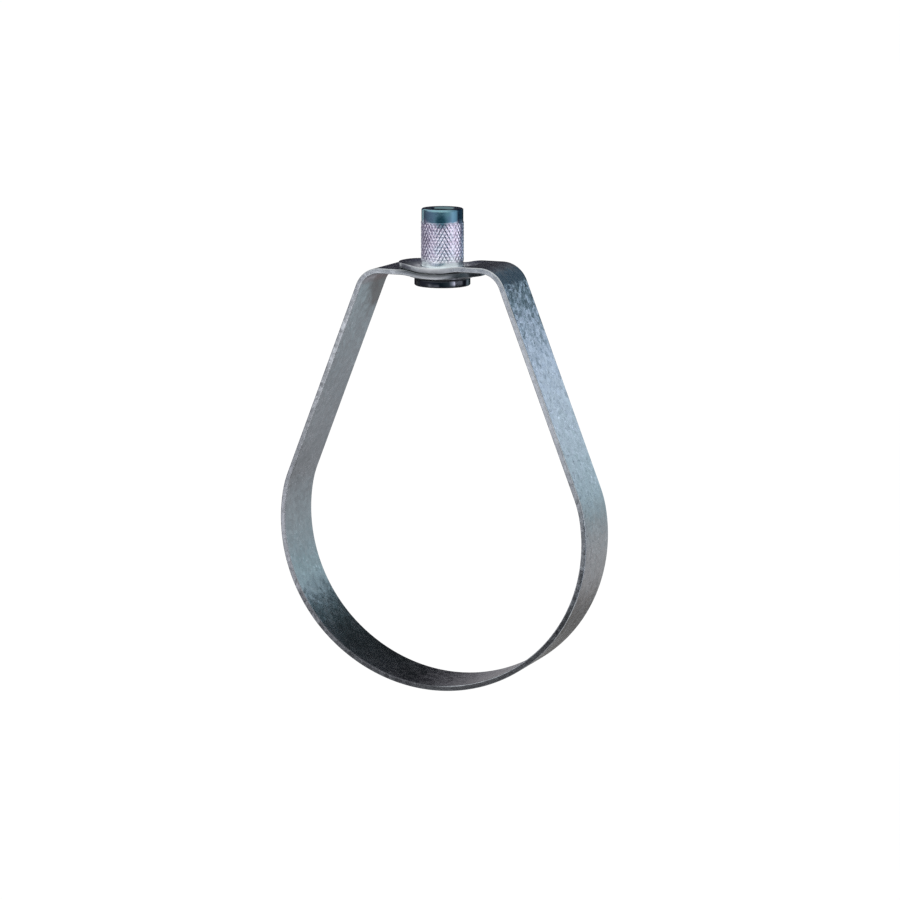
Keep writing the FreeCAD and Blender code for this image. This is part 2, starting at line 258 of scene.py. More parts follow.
def sweep_strip(points, places, faces):
    """The folded strip between its flat ends; gives its first and last station and its length."""
    stations = outline()
    loop = section()
    along = 0.0
    start = len(points)
    for number, (x, z, angle) in enumerate(stations):
        if number:
            before = stations[number - 1]
            along += math.hypot(x - before[0], z - before[1])
        normal = (math.cos(math.radians(angle)), math.sin(math.radians(angle)))
        for y, depth in loop:
            points.append((x - normal[0] * depth, y, z - normal[1] * depth))
            places.append((along * MM, y * MM, depth / STRIP_THICKNESS))
    width = len(loop)
    for number in range(len(stations) - 1):
        for step in range(width):
            following = (step + 1) % width
            low = start + number * width
            faces.append((low + step, low + following,
                          low + width + following, low + width + step))
    return stations[0], stations[-1], along


# The overlapping ends. Points no further apart than the weld are joined.

PLATE_SIDE_STEPS = 24
TIP_STEPS = 48
PLATE_RINGS = 26
HOLE_BREAK = 0.2
BAND_WELD = 0.002


def plate_outline(flat_end):
    """Boundary of one overlapping end, inset by the edge rounding, for the end that points to -x.

    Each entry is (x, y, outward normal or None where the plate runs on into the bend).
    """
    rim = [(flat_end, y, None) for y in ACROSS]
    rim[0] = (flat_end, ACROSS[0], (0.0, -1.0))
    rim[-1] = (flat_end, ACROSS[-1], (0.0, 1.0))
    end_x = -TIP_REACH + HALF_WIDTH
    for x in spread(flat_end, end_x, PLATE_SIDE_STEPS)[1:-1]:
        rim.append((x, FLAT_HALF, (0.0, 1.0)))
    for angle in spread(90, 270, TIP_STEPS):
        way = (math.cos(math.radians(angle)), math.sin(math.radians(angle)))
        rim.append((end_x + FLAT_HALF * way[0], FLAT_HALF * way[1], way))
    for x in spread(end_x, flat_end, PLATE_SIDE_STEPS)[1:-1]:
        rim.append((x, -FLAT_HALF, (0.0, -1.0)))
    return rim


def hole_column():
    """(radius, depth) down the wall of the hole, with its two softened edges."""
    column = [(HOLE_RADIUS + HOLE_BREAK, 0.0)]
    for angle in ROUNDING:
        column.append((HOLE_RADIUS + HOLE_BREAK * (1 - math.sin(angle)),
                       HOLE_BREAK * (1 - math.cos(angle))))
    column.append((HOLE_RADIUS, STRIP_THICKNESS / 2))
    for radius, depth in reversed(column[:-1]):
        column.append((radius, STRIP_THICKNESS - depth))
    return column


def add_plate(points, places, faces, flat_end, top, side, along):
    """One flat end with its dish and hole. side is +1 where its tip points to -x."""
    rim = plate_outline(flat_end)
    count = len(rim)

    def put(x, y, depth):
        points.append((x * side, y, top + dish(math.hypot(x, y)) - depth))
        run = along - side * abs(flat_end - x)
        places.append((run * MM, y * MM, depth / STRIP_THICKNESS))
        return len(points) - 1

    near = HOLE_RADIUS + HOLE_BREAK
    shares = spread(0, 1, PLATE_RINGS)
    hole_wall = hole_column()[1:-1]
    columns = []
    for x, y, way in rim:
        angle = math.atan2(y, x)
        reach = math.hypot(x, y)
        across = (math.cos(angle), math.sin(angle))
        upper = [near + (reach - near) * share for share in shares]
        column = [put(across[0] * r, across[1] * r, 0.0) for r in upper]
        if way:
            for out, depth in COLUMN[:-1]:
                column.append(put(x + way[0] * out, y + way[1] * out, depth))
        else:
            column += [None] * (len(COLUMN) - 1)
        column.append(put(x, y, STRIP_THICKNESS))
        for r in reversed(upper[:-1]):
            column.append(put(across[0] * r, across[1] * r, STRIP_THICKNESS))
        for radius, depth in reversed(hole_wall):
            column.append(put(across[0] * radius, across[1] * radius, depth))
        columns.append(column)
    height = len(columns[0])
    for number in range(count):
        one, two = columns[number], columns[(number + 1) % count]
        for step in range(height):
            following = (step + 1) % height
            corners = (one[step], one[following], two[following], two[step])
            if None not in corners:
                faces.append(corners)


def outline_run():
    """Length round the outer face, from the right end's flat to the left end's flat, in metres."""
    stations = outline()
    steps = [math.dist(one[:2], two[:2]) for one, two in zip(stations, stations[1:])]
    return sum(steps) * MM


STRIP_RUN = outline_run()


def make_band():
    points, places, faces = [], [], []
    first, last, length = sweep_strip(points, places, faces)
    add_plate(points, places, faces, first[0], UPPER_TOP, 1, 0.0)
    add_plate(points, places, faces, -last[0], LOWER_TOP, -1, length)
    mesh = make_mesh("galvanised_band", points, faces, places)
    tidy_mesh(mesh, BAND_WELD * MM)
    return add_piece("galvanised_band", mesh)


# The swivel nut

KNURL_COUNT = 36
KNURL_COLUMNS = 12
KNURL_HELIX = math.radians(30)
KNURL_PITCH = TAU * KNURL_RADIUS / KNURL_COUNT / math.tan(KNURL_HELIX)
KNURL_ROWS = round(KNURL_HEIGHT / (KNURL_PITCH / KNURL_COLUMNS))
KNURL_DEPTH = 0.15
KNURL_FLAT = 0.16
KNURL_FADE = 0.5
THREAD_PITCH = 1.5875
THREAD_MAJOR = 4.7625
THREAD_FLANK = math.radians(30)
THREAD_CREST = 0.25
THREAD_ROWS_PER_TURN = 16
THREAD_ROWS = round((NUT_TOP - NUT_BOTTOM) / THREAD_PITCH * THREAD_ROWS_PER_TURN)
THREAD_COLUMNS = 72
NUT_COLUMNS = KNURL_COUNT * KNURL_COLUMNS
NUT_WELD = 0.0001

# Rings on the flat faces, and rows up the journal and the collar
RIM_STEP = 0.4
BOTTOM_FACE_START = 6.2
BOTTOM_FACE_STEPS = 4
SEAT_FACE_RING = 8.6
TOP_FACE_START = 6.9
TOP_FACE_STEPS = 3
JOURNAL_FIRST_ROW = 1.2
JOURNAL_STEPS = 4
COLLAR_STEPS = 8
ROW_MARGIN = 0.1

# Softened edges from the face to the wall, as (inset from the wall, distance from the face)
FLANGE_EDGE = [
    (EDGE_BREAK + 0.15, 0.0),
    (EDGE_BREAK + 0.04, 0.01),
    (EDGE_BREAK - 0.04, 0.06),
    (0.06, EDGE_BREAK - 0.04),
    (0.01, EDGE_BREAK + 0.04),
    (0.0, EDGE_BREAK + 0.12),
]
COLLAR_EDGE = [
    (EDGE_BREAK + 0.15, 0.0),
    (EDGE_BREAK + 0.03, 0.015),
    (EDGE_BREAK - 0.05, 0.07),
    (0.07, EDGE_BREAK - 0.08),
    (0.02, EDGE_BREAK),
]
# Foot of the journal and rim of the bore's mouth, as (out from the wall, distance from the face)
JOURNAL_FOOT = [(0.1, 0.0), (0.03, 0.03), (0.0, 0.12)]
MOUTH_EDGE = [(0.08, 0.0), (0.01, 0.03)]
MOUTH_DEPTH = 0.08


def groove(turns):
    """1 at the bottom of a groove and 0 on a crest, for a position in groove pitches."""
    away = abs(turns - round(turns))
    return max(0.0, 1 - away / (0.5 - KNURL_FLAT / 2))


def knurl_radius(angle, height):
    """Radius of the knurled stretch, whose grooves fade in from both its ends."""
    up = height - KNURL_BOTTOM
    down = KNURL_TOP - height
    crest = min(KNURL_RADIUS, JOURNAL_RADIUS + up, COLLAR_RADIUS + down)
    fade = smooth(0, KNURL_FADE, min(up, down))
    around = angle * KNURL_COUNT / TAU
    drop = max(groove(around + up / KNURL_PITCH), groove(around - up / KNURL_PITCH))
    return crest - KNURL_DEPTH * fade * drop


def thread_radius(angle, height):
    turns = height / THREAD_PITCH - angle / TAU
    away = abs(turns - math.floor(turns) - 0.5)
    flank = (THREAD_MAJOR - THREAD_BORE_RADIUS) * math.tan(THREAD_FLANK) / THREAD_PITCH
    root = 1 - THREAD_CREST - flank * 2
    depth = 1 - smooth(root / 2, root / 2 + flank, away)
    return THREAD_BORE_RADIUS + (THREAD_MAJOR - THREAD_BORE_RADIUS) * depth


def bore_radius(angle, height):
    """Radius of the threaded bore, opened by a cone at both mouths."""
    into_cone = max(height - (NUT_TOP - BORE_COUNTERSINK), NUT_BOTTOM + BORE_COUNTERSINK - height)
    return max(thread_radius(angle, height), THREAD_BORE_RADIUS + into_cone)


def edge_rings(radius, face, way, steps):
    """(radius, height) over a softened edge; way is +1 where the metal lies above the face."""
    return [(radius - inset, face + way * rise) for inset, rise in steps]


def lower_rings():
    """(radius, height) up the outside of the nut, from its bottom face to the knurl."""
    face_end = FLANGE_RADIUS - FLANGE_EDGE[0][0]
    rings = [(MOUTH_RADIUS + RIM_STEP, NUT_BOTTOM)]
    rings += [(radius, NUT_BOTTOM) for radius in spread(BOTTOM_FACE_START, face_end, BOTTOM_FACE_STEPS)]
    rings += edge_rings(FLANGE_RADIUS, NUT_BOTTOM, 1, FLANGE_EDGE[1:])
    rings += [(FLANGE_RADIUS, NUT_BOTTOM + FLANGE_THICKNESS / 2)]
    rings += edge_rings(FLANGE_RADIUS, FLANGE_TOP, -1, reversed(FLANGE_EDGE))
    rings += [(SEAT_FACE_RING, FLANGE_TOP)]
    rings += [(JOURNAL_RADIUS + out, FLANGE_TOP + rise) for out, rise in JOURNAL_FOOT]
    rows = spread(FLANGE_TOP + JOURNAL_FIRST_ROW, KNURL_BOTTOM - ROW_MARGIN, JOURNAL_STEPS)
    rings += [(JOURNAL_RADIUS, height) for height in rows]
    return rings


def collar_rings():
    """(radius, height) from the top of the knurl, over the collar, to the rim of the bore."""
    rows = spread(KNURL_TOP + ROW_MARGIN, NUT_TOP - EDGE_BREAK - ROW_MARGIN, COLLAR_STEPS)
    rings = [(COLLAR_RADIUS, height) for height in rows]
    rings += edge_rings(COLLAR_RADIUS, NUT_TOP, -1, reversed(COLLAR_EDGE))
    face = spread(TOP_FACE_START, MOUTH_RADIUS + RIM_STEP, TOP_FACE_STEPS)
    rings += [(radius, NUT_TOP) for radius in face]
    return rings


class RingMesh:
    """Points, places and faces of a turned piece, built up in level rings.

    Each place is (depth in the knurl, 1 on the knurl, 1 in the bore), for the finish.
    """

    def __init__(self):
        self.points = []
        self.places = []
        self.faces = []

    def ring(self, height, radii, on_knurl=0.0, in_bore=0.0):
        """Adds one ring with a radius for each column, and gives its first point."""
        first = len(self.points)
        for angle, radius in zip(spread(0, TAU, len(radii)), radii):
            self.points.append((radius * math.cos(angle), radius * math.sin(angle), height))
            valley = on_knurl * (KNURL_RADIUS - radius) / KNURL_DEPTH
            self.places.append((valley, on_knurl, in_bore))
        return first

    def round_ring(self, columns, radius, height):
        return self.ring(height, [radius] * columns)

    def join(self, rings, columns):
        """Faces between each ring and the next."""
        for low, high in zip(rings, rings[1:]):
            for step in range(columns):
                following = (step + 1) % columns
                self.faces.append((low + step, low + following, high + following, high + step))

    def close(self, fine, coarse):
        """Faces between a ring of the outside and a ring of the bore."""
        ratio = NUT_COLUMNS // THREAD_COLUMNS
        for step in range(THREAD_COLUMNS):
            run = [fine + (step * ratio + number) % NUT_COLUMNS for number in range(ratio + 1)]
            self.faces.append((*run, coarse + (step + 1) % THREAD_COLUMNS, coarse + step))


def add_outside(shape):
    """Rings of the outside, from the bottom face up to the top face."""
    rings = [shape.round_ring(NUT_COLUMNS, radius, height) for radius, height in lower_rings()]
    angles = spread(0, TAU, NUT_COLUMNS)[:-1]
    for height in spread(KNURL_BOTTOM, KNURL_TOP, KNURL_ROWS):
        radii = [knurl_radius(angle, height) for angle in angles]
        rings.append(shape.ring(height, radii, on_knurl=1.0))
    rings += [shape.round_ring(NUT_COLUMNS, radius, height) for radius, height in collar_rings()]
    shape.join(rings, NUT_COLUMNS)
    return rings


def add_bore(shape):
    """Rings of the threaded bore, from the top mouth down to the bottom one."""
    rings = []
    for out, drop in MOUTH_EDGE:
        rings.append(shape.round_ring(THREAD_COLUMNS, MOUTH_RADIUS + out, NUT_TOP - drop))
    angles = spread(0, TAU, THREAD_COLUMNS)[:-1]
    for height in spread(NUT_TOP - MOUTH_DEPTH, NUT_BOTTOM + MOUTH_DEPTH, THREAD_ROWS):
        radii = [bore_radius(angle, height) for angle in angles]
        rings.append(shape.ring(height, radii, in_bore=1.0))
    for out, rise in reversed(MOUTH_EDGE):
        rings.append(shape.round_ring(THREAD_COLUMNS, MOUTH_RADIUS + out, NUT_BOTTOM + rise))
    shape.join(rings, THREAD_COLUMNS)
    return rings


def make_nut():
    shape = RingMesh()
    outer = add_outside(shape)
    inner = add_bore(shape)
    shape.close(outer[-1], inner[0])
    shape.close(outer[0], inner[-1])
    mesh = make_mesh("zinc_swivel_nut", shape.points, shape.faces, shape.places)
    tidy_mesh(mesh, NUT_WELD * MM)
    return add_piece("zinc_swivel_nut", mesh)


# Materials


class Nodes:
    """Short hand for a node tree: make nodes, set sockets, link."""

    def __init__(self, tree):
        self.tree = tree
        tree.nodes.clear()

    def add(self, kind, inputs=None, **settings):
        node = self.tree.nodes.new(kind)
        for key, value in settings.items():
            setattr(node, key, value)
        for key, value in (inputs or {}).items():
            self.feed(node.inputs[key], value)
        return node

    def feed(self, socket, value):
        if isinstance(value, bpy.types.NodeSocket):
            self.tree.links.new(value, socket)
        else:
            socket.default_value = value

    def spot(self):
        """Place on the piece, in metres."""
        return self.add("ShaderNodeTexCoord").outputs["Object"]

    def place(self):
        """The vector that the mesh keeps on its points."""
        return self.add("ShaderNodeAttribute", attribute_name="place").outputs["Vector"]

    def split(self, vector):
        node = self.add("ShaderNodeSeparateXYZ", {0: vector})
        return node.outputs["X"], node.outputs["Y"], node.outputs["Z"]

    def flat(self, x, y):
        return self.add("ShaderNodeCombineXYZ", {0: x, 1: y}).outputs[0]

    def length(self, vector):
        return self.add("ShaderNodeVectorMath", {0: vector}, operation="LENGTH").outputs["Value"]

    def distance(self, vector, middle):
        node = self.add("ShaderNodeVectorMath", {0: vector, 1: middle}, operation="DISTANCE")
        return node.outputs["Value"]

    def stretch(self, vector, scales):
        return self.add("ShaderNodeMapping", {"Vector": vector, "Scale": scales}).outputs[0]

    def maths(self, operation, first, second=0.0, third=0.0):
        node = self.add("ShaderNodeMath", {0: first, 1: second, 2: third}, operation=operation)
        return node.outputs[0]

    def times(self, first, second):
        return self.maths("MULTIPLY", first, second)

    def span(self, value, low, high, new_low=0.0, new_high=1.0):
        """Maps low to high onto new_low to new_high, and goes no further at either end."""
        node = self.add("ShaderNodeMapRange", {0: value, 1: low, 2: high, 3: new_low, 4: new_high})
        return node.outputs[0]

    def span_mm(self, value, low, high, new_low=0.0, new_high=1.0, start=0.0):
        """Like span, for a length; low and high are millimetres from a start in metres."""
        return self.span(value, start + low * MM, start + high * MM, new_low, new_high)

    def mix(self, share, first, second, blend="MIX"):
        node = self.add("ShaderNodeMix", data_type="RGBA", blend_type=blend)
        self.feed(node.inputs[0], share)
        self.feed(node.inputs[6], first)
        self.feed(node.inputs[7], second)
        return node.outputs[2]

    def noise(self, vector, scale, detail=2.0):
        node = self.add("ShaderNodeTexNoise", {"Vector": vector, "Scale": scale, "Detail": detail})
        return node.outputs["Fac"]

    def ramp(self, value, stops):
        node = self.add("ShaderNodeValToRGB", {"Fac": value})
        while len(node.color_ramp.elements) < len(stops):
            node.color_ramp.elements.new(0.5)
        for element, (position, colour) in zip(node.color_ramp.elements, stops):
            element.position = position
            element.color = (*colour, 1.0)
        return node.outputs["Color"]

    def metal(self, colour, rough, bump):
        shader = self.add("ShaderNodeBsdfPrincipled", {
            "Base Color": colour, "Metallic": 1.0, "Roughness": rough, "Normal": bump.outputs[0]})
        self.add("ShaderNodeOutputMaterial", {"Surface": shader.outputs[0]})


def new_material(name):
    material = bpy.data.materials.new(name)
    material.use_nodes = True
    return material, Nodes(material.node_tree)


# A noise mostly lies between these
NOISE_ENDS = (0.3, 0.7)

# The strip's finish. Lengths are millimetres and depths are shares of the strip's thickness,
# but middles are places in metres, and so are the two stretches of the run with painted shade in the
# inner corner.
ZINC = (0.50, 0.53, 0.55, 1)
SPANGLE_SCALE = 620.0
SPANGLE_TILT = 0.105
FLECK_SCALE = 1500.0
FLECK_TILT = 0.07
INNER_CALM = 0.6
CALM_DEPTHS = (0.2, 0.8)
CLOUD_SCALE = 70.0
CLOUD_DETAIL = 3.0
CLOUD_TONES = (0.92, 1.06)
CLOUD_ROUGH = (-0.02, 0.05)
STREAK_STRETCH = (25.0, 1400.0, 1.0)
STREAK_TONES = (0.96, 1.03)
STREAK_BUMP = {"Strength": 0.2, "Distance": 0.00003}
TONE_SPREAD = 0.20
TONE_LOW = 0.88
ROUGH_SPREAD = 0.10
ROUGH_LOW = 0.17
EDGE_ROUGH = 0.06
PRESSED_ROUGH = 0.24

SCUFF = (0.74, 0.76, 0.80, 1)
SCUFF_SCALE = 900.0
SCUFF_ENDS = (0.60, 0.74)
SCUFF_PATCH_SCALE = 90.0
SCUFF_PATCH_ENDS = (0.5, 0.62)

UPPER_FLAT_RUN = (-3, -6)
LOWER_FLAT_RUN = (6, 11)
EDGE_ZONE = (HALF_WIDTH - 0.2, HALF_WIDTH - 0.06)
# Paler zinc in the dishes towards the hole is a painted reflection of the bright room
DISH_SHEEN = (0.95, 0.97, 0.98, 1)
PRESSED_ZONE = (DISH_RADIUS - 1, DISH_FLOOR_RADIUS)
PRESSED_HEIGHTS = (LOWER_TOP - 12, LOWER_TOP - 8)
DISH_SHEEN_ZONE = (DISH_RADIUS - 2, HOLE_RADIUS + 1)

# Painted shade on the slit edges along the seam between the two flats and at the lower flat's tip
SEAM_SHADE = (0.05, 0.06, 0.07, 1)
UPPER_SHADE_RUN = (-11, -17)
UPPER_SHADE_DEPTHS = (0.1, 1.0)
UPPER_SHADE_SHARE = 0.75
LOWER_SHADE_DEPTHS = (0.85, 0.25)
LOWER_SHADE_SHARE = 0.86
TIP_SHADE_RUN = (23, 31)
TIP_SHADE_SHARE = 0.85

# Painted shade on the inner rounded corner of the slit edges, low down on the left
CORNER_SHADE = (0.04, 0.04, 0.045, 1)
CORNER_ZONE = (HALF_WIDTH - 0.28, HALF_WIDTH - 0.20)
CORNER_DEPTHS = (0.84, 0.90)
CORNER_SHARE = 0.93
CORNER_RUN_STARTS = (0.472 * STRIP_RUN, 0.502 * STRIP_RUN)
CORNER_RUN_ENDS = (0.62 * STRIP_RUN, 0.71 * STRIP_RUN)

# Painted brown shade inside the top of the left leg, towards the back
BROWN_SHADE = (0.21, 0.17, 0.16, 1)
BROWN_SHADE_MIDDLE = (-0.028, 0.009, 0.089)
BROWN_SHADE_REACH = (15, 9)
BROWN_SHADE_SCALE = 200.0
BROWN_SHADE_UNEVEN = 3
BROWN_SHADE_DEPTHS = (0.5, 0.9)
BROWN_SHADE_SHARE = 0.85


class StripSpots:
    """Sockets that say where a point lies on the strip."""

    def __init__(self, n):
        self.spot = n.spot()
        self.place = n.place()
        self.run, _, self.depth = n.split(self.place)
        x, y, z = n.split(self.spot)
        on_upper = n.span_mm(self.run, *UPPER_FLAT_RUN)
        self.on_lower = n.span_mm(self.run, *LOWER_FLAT_RUN, start=STRIP_RUN)

        # Distance from the strip's middle line, and from the centre of the tip past that centre
        towards_tip = n.times(x, n.maths("SUBTRACT", self.on_lower, on_upper))
        past_centre = n.maths("SUBTRACT", towards_tip, (TIP_REACH - HALF_WIDTH) * MM)
        past_centre = n.maths("MAXIMUM", past_centre, 0.0)
        self.off_side = n.length(n.flat(past_centre, y))
        self.on_edge = n.span_mm(self.off_side, *EDGE_ZONE)

        # Distance from the rod's axis, and 1 in the pressed dishes
        self.reach = n.length(n.flat(x, y))
        near_crown = n.span_mm(z, *PRESSED_HEIGHTS)
        self.pressed = n.times(n.span_mm(self.reach, *PRESSED_ZONE), near_crown)


def zinc_colour(n, spots, crystal_tone, clouds, streaks):
    """Spangle under faint clouds and rolling streaks, with small bright scuffs."""
    tone = n.maths("MULTIPLY_ADD", crystal_tone, TONE_SPREAD, TONE_LOW)
    tone = n.times(tone, n.span(clouds, *NOISE_ENDS, *CLOUD_TONES))
    tone = n.times(tone, n.span(streaks, *NOISE_ENDS, *STREAK_TONES))
    tones = n.add("ShaderNodeCombineColor", {0: tone, 1: tone, 2: tone}).outputs[0]
    colour = n.mix(1.0, ZINC, tones, "MULTIPLY")
    scuffs = n.span(n.noise(spots.spot, SCUFF_SCALE, 1.0), *SCUFF_ENDS)
    patches = n.span(n.noise(spots.spot, SCUFF_PATCH_SCALE, 1.0), *SCUFF_PATCH_ENDS)
    return n.mix(n.times(scuffs, patches), colour, SCUFF)


def strip_roughness(n, spots, crystal_gloss, clouds):
    """The slit edges and the pressed dishes are duller than the rolled faces."""
    rough = n.maths("MULTIPLY_ADD", crystal_gloss, ROUGH_SPREAD, ROUGH_LOW)
    rough = n.maths("ADD", rough, n.span(clouds, *NOISE_ENDS, *CLOUD_ROUGH))
    rough = n.maths("MULTIPLY_ADD", spots.on_edge, EDGE_ROUGH, rough)
    return n.maths("MULTIPLY_ADD", spots.pressed, PRESSED_ROUGH, rough)


def painted_seam_shade(n, spots, colour):
    """Painted shade on the edges along the seam between the two flats, most of all at the lower one's
    tip.
    """
    upper = n.times(n.span_mm(spots.run, *UPPER_SHADE_RUN),
                    n.span(spots.depth, *UPPER_SHADE_DEPTHS, 0.0, UPPER_SHADE_SHARE))
    lower = n.times(spots.on_lower, n.span(spots.depth, *LOWER_SHADE_DEPTHS, 0.0, LOWER_SHADE_SHARE))
    tip = n.span_mm(spots.run, *TIP_SHADE_RUN, 0.0, TIP_SHADE_SHARE, start=STRIP_RUN)
    seam_shade_share = n.maths("MAXIMUM", n.maths("MAXIMUM", upper, lower), tip)
    return n.mix(n.times(seam_shade_share, spots.on_edge), colour, SEAM_SHADE)


def painted_corner_shade(n, spots, colour):
    """Painted shade in the inner corner of the slit edges, low down on the left."""
    corner = n.times(n.span_mm(spots.off_side, *CORNER_ZONE), n.span(spots.depth, *CORNER_DEPTHS))
    corner = n.times(corner, n.span(spots.run, *CORNER_RUN_STARTS, 0.0, CORNER_SHARE))
    corner = n.times(corner, n.span(spots.run, *CORNER_RUN_ENDS, 1.0, 0.0))
    return n.mix(corner, colour, CORNER_SHADE)


def painted_brown_shade(n, spots, colour):
    """Painted brown shade inside the top of the left leg, towards the back."""
    uneven = n.span(n.noise(spots.spot, BROWN_SHADE_SCALE), *NOISE_ENDS, -BROWN_SHADE_UNEVEN * MM, BROWN_SHADE_UNEVEN * MM)
    away = n.maths("ADD", n.distance(spots.spot, BROWN_SHADE_MIDDLE), uneven)
    patch_shade = n.times(n.span_mm(away, *BROWN_SHADE_REACH), n.span(spots.depth, *BROWN_SHADE_DEPTHS, 0.0, BROWN_SHADE_SHARE))
    return n.mix(patch_shade, colour, BROWN_SHADE)


def crystal_tilt(n, colour, amount):
    """A small random tilt for each crystal, from its random colour."""
    centred = n.add("ShaderNodeVectorMath", {0: colour, 1: (0.5, 0.5, 0.5)}, operation="SUBTRACT")
    scaled = n.add("ShaderNodeVectorMath", {0: centred.outputs[0]}, operation="SCALE")
    n.feed(scaled.inputs["Scale"], amount)
    return scaled.outputs[0]


def galvanised():
    material, n = new_material("galvanised_strip")
    spots = StripSpots(n)
    spangle = n.add("ShaderNodeTexVoronoi", {"Vector": spots.spot, "Scale": SPANGLE_SCALE})
    flecks = n.add("ShaderNodeTexVoronoi", {"Vector": spots.spot, "Scale": FLECK_SCALE})
    grain = n.add("ShaderNodeSeparateColor", {0: spangle.outputs["Color"]})
    clouds = n.noise(spots.spot, CLOUD_SCALE, CLOUD_DETAIL)
    streaks = n.noise(n.stretch(spots.place, STREAK_STRETCH), 1.0)

    colour = zinc_colour(n, spots, grain.outputs[0], clouds, streaks)
    # Painted reflection: paler zinc in the dishes towards the hole
    dish_sheen_share = n.times(spots.pressed, n.span_mm(spots.reach, *DISH_SHEEN_ZONE))
    colour = n.mix(dish_sheen_share, colour, DISH_SHEEN)
    # Painted shade along the seam between the two flats
    colour = painted_seam_shade(n, spots, colour)
    # Painted shade in the inner corner of the slit edges
    colour = painted_corner_shade(n, spots, colour)
    # Painted brown shade inside the top of the left leg
    colour = painted_brown_shade(n, spots, colour)
    rough = strip_roughness(n, spots, grain.outputs[1], clouds)

    normal = n.add("ShaderNodeNewGeometry").outputs["Normal"]
    for crystals, amount in ((spangle, SPANGLE_TILT), (flecks, FLECK_TILT)):
        calmer_inside = n.span(spots.depth, *CALM_DEPTHS, amount, amount * INNER_CALM)
        tilt = crystal_tilt(n, crystals.outputs["Color"], calmer_inside)
        normal = n.add("ShaderNodeVectorMath", {0: normal, 1: tilt}, operation="ADD").outputs[0]
    normal = n.add("ShaderNodeVectorMath", {0: normal}, operation="NORMALIZE").outputs[0]
    bump = n.add("ShaderNodeBump", {**STREAK_BUMP, "Height": streaks, "Normal": normal})
    n.metal(colour, rough, bump)
    return material


# The nut's finish: a clear blue chromate, ice and lilac on the knurl and a deeper teal on the collar.
# Lengths are millimetres, but middles are places in metres.
TINT_SCALE = 260.0
TINT_STOPS = [
    (0.30, (0.80, 0.86, 0.99)),
    (0.45, (0.87, 0.86, 1.0)),
    (0.56, (0.91, 0.85, 1.0)),
    (0.70, (0.82, 0.84, 0.98)),
]
LOW_TINT = (0.84, 0.92, 0.95, 1)
LOW_TINT_HEIGHTS = (KNURL_BOTTOM + 3, KNURL_BOTTOM - 1)
TEAL_SCALE = 220.0
TEAL_STOPS = [(0.36, (0.20, 0.32, 0.44)), (0.60, (0.24, 0.44, 0.50))]
COLLAR_HEIGHTS = (KNURL_TOP - 1.0, KNURL_TOP + 0.8)
COLLAR_WANDER = 1.4
COLLAR_WANDER_SCALE = 180.0
# Painted shade on the collar's +x side
SHADED_TEAL = (0.08, 0.18, 0.25, 1)
SHADED_TEAL_ACROSS = (4.2, 6.6)
SHADED_TEAL_SHARE = 0.95
# A spot of painted shade at the front foot of the collar, just above the knurl
COLLAR_SHADE = (0.03, 0.14, 0.19, 1)
COLLAR_SHADE_MIDDLE = (0.0027, -0.0072, 0.1125)
COLLAR_SHADE_REACH = (2.9, 1.3)
COLLAR_SHADE_SHARE = 0.85

# Painted shade over the flange, which sits under the strip
FLANGE_SHADE = (0.06, 0.065, 0.075, 1)
FLANGE_HEIGHTS = (FLANGE_TOP + 0.6, FLANGE_TOP - 0.2)
FLANGE_GLOSS = -0.08
# A painted highlight on the front of the flange
FLANGE_HIGHLIGHT = (0.48, 0.48, 0.56, 1)
FLANGE_HIGHLIGHT_MIDDLE = (0.0087, -0.0057, 0.0901)
FLANGE_HIGHLIGHT_REACH = (3.4, 1.2)
FLANGE_HIGHLIGHT_HEIGHT = (1.1, 0.4)

VALLEY = (0.33, 0.28, 0.40, 1)
VALLEY_ENDS = (0.35, 1.0)
VALLEY_PATCH_SCALE = 330.0
VALLEY_PATCH_ENDS = (0.36, 0.62)
VALLEY_PATCH_SHARE = 0.95
VALLEY_HEIGHTS = (KNURL_BOTTOM + 1, KNURL_BOTTOM + 9)
VALLEY_LOW_SHARE = 0.35
SPECKLE = (0.40, 0.35, 0.47, 1)
SPECKLE_SCALE = 1100.0
SPECKLE_ENDS = (0.50, 0.68)
SPECKLE_SHARE = 0.75
# Painted shade inside the threaded bore
BORE_SHADE = (0.12, 0.19, 0.21, 1)

LATHE_STRETCH = (40.0, 40.0, 5200.0)
LATHE_BUMP = {"Strength": 0.25, "Distance": 0.00002}
NUT_ROUGH_SCALE = 800.0
NUT_ROUGH_SPREAD = 0.10
NUT_ROUGH_LOW = 0.14


def chromate(n, spot, across, height):
    """The barrel's tint, with the teal collar, painted shade on the collar's +x side and a spot of
    painted shade at the collar's front foot.
    """
    tint = n.ramp(n.noise(spot, TINT_SCALE), TINT_STOPS)
    tint = n.mix(n.span_mm(height, *LOW_TINT_HEIGHTS), tint, LOW_TINT)
    teal = n.ramp(n.noise(spot, TEAL_SCALE, 1.0), TEAL_STOPS)
    # Painted shade on the collar's +x side
    darker = n.span_mm(across, *SHADED_TEAL_ACROSS, 0.0, SHADED_TEAL_SHARE)
    teal = n.mix(darker, teal, SHADED_TEAL)
    wander = n.span(n.noise(spot, COLLAR_WANDER_SCALE), *NOISE_ENDS,
                    -COLLAR_WANDER * MM, COLLAR_WANDER * MM)
    on_collar = n.span_mm(n.maths("ADD", height, wander), *COLLAR_HEIGHTS)
    # A spot of painted shade at the collar's front foot
    front_shade = n.span_mm(n.distance(spot, COLLAR_SHADE_MIDDLE), *COLLAR_SHADE_REACH)
    colour = n.mix(n.maths("MAXIMUM", on_collar, front_shade), tint, teal)
    return n.mix(n.times(front_shade, COLLAR_SHADE_SHARE), colour, COLLAR_SHADE)


